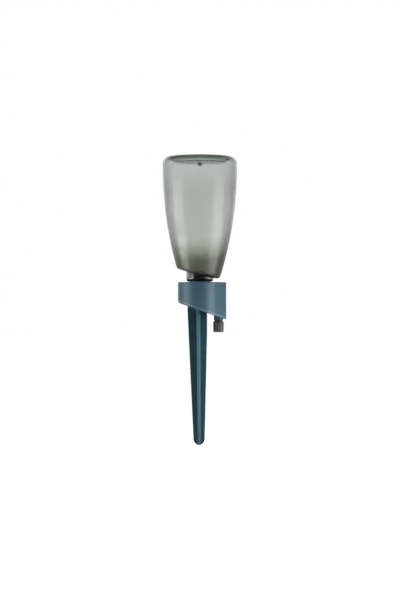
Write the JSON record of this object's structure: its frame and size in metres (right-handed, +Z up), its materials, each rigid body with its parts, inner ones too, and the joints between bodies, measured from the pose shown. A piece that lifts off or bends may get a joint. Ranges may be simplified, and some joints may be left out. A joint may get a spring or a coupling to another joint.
{
  "type": "drip watering spike",
  "caption": "Garden spike with a slanted water head, an upturned screw-in bottle and a knurled needle valve that sets the drip rate.",
  "frame": {"origin": "on the bottle's axis at the soil line, 120 mm above the spike's tip", "axes": "+Z up along the bottle's axis, +X towards the outlet and the regulator knob"},
  "size_m": [0.085, 0.085, 0.33],
  "materials": {
    "smoky_bottle": "smoky translucent plastic, lightly frosted",
    "head_plastic": "blue-grey satin plastic",
    "spike_plastic": "dark teal smooth plastic",
    "black_plastic": "black moulded plastic",
    "knob_plastic": "dark grey knurled plastic",
    "needle_plastic": "natural white plastic",
    "black_rubber": "black rubber",
    "seat_silicone": "soft red silicone",
    "filter_mesh": "fine woven nylon mesh"
  },
  "bodies": {
    "root": {"head_shell": "head_plastic", "inlet_strainer": "black_plastic", "strainer_mesh": "filter_mesh", "chamber_gasket": "black_rubber", "base_plate": "spike_plastic", "spike": "spike_plastic", "valve_body": "black_plastic", "valve_seat": "seat_silicone", "spigot_ring": "black_rubber", "nose_ring": "black_rubber"},
    "neck_ring": {"neck_seal": "black_rubber"},
    "bottle": {"bottle": "smoky_bottle", "vent_valve": "black_rubber"},
    "needle": {"metering_needle": "needle_plastic"},
    "knob": {"regulator_knob": "knob_plastic"}
  },
  "joints": [
    {"name": "bottle_lift", "type": "slide", "parent": "root", "child": "neck_ring", "axis": [0, 0, 1], "range_m": [0, 0.013]},
    {"name": "bottle_turn", "type": "hinge", "parent": "neck_ring", "child": "bottle", "pos_m": [0, 0, 0.0697], "axis": [0, 0, 1], "range_deg": [0, 1440]},
    {"name": "needle_travel", "type": "slide", "parent": "root", "child": "needle", "axis": [0, 0, -1], "range_m": [-0.0008, 0.001]},
    {"name": "knob_turn", "type": "hinge", "parent": "needle", "child": "knob", "pos_m": [0.0213, 0, 0.0154], "axis": [0, 0, -1], "range_deg": [-290, 362]}
  ],
  "couplings": [
    {"joint": "bottle_lift", "follows": "bottle_turn", "m_per_rad": 0.0005093},
    {"joint": "knob_turn", "follows": "needle_travel", "rad_per_m": 6283.2}
  ]
}
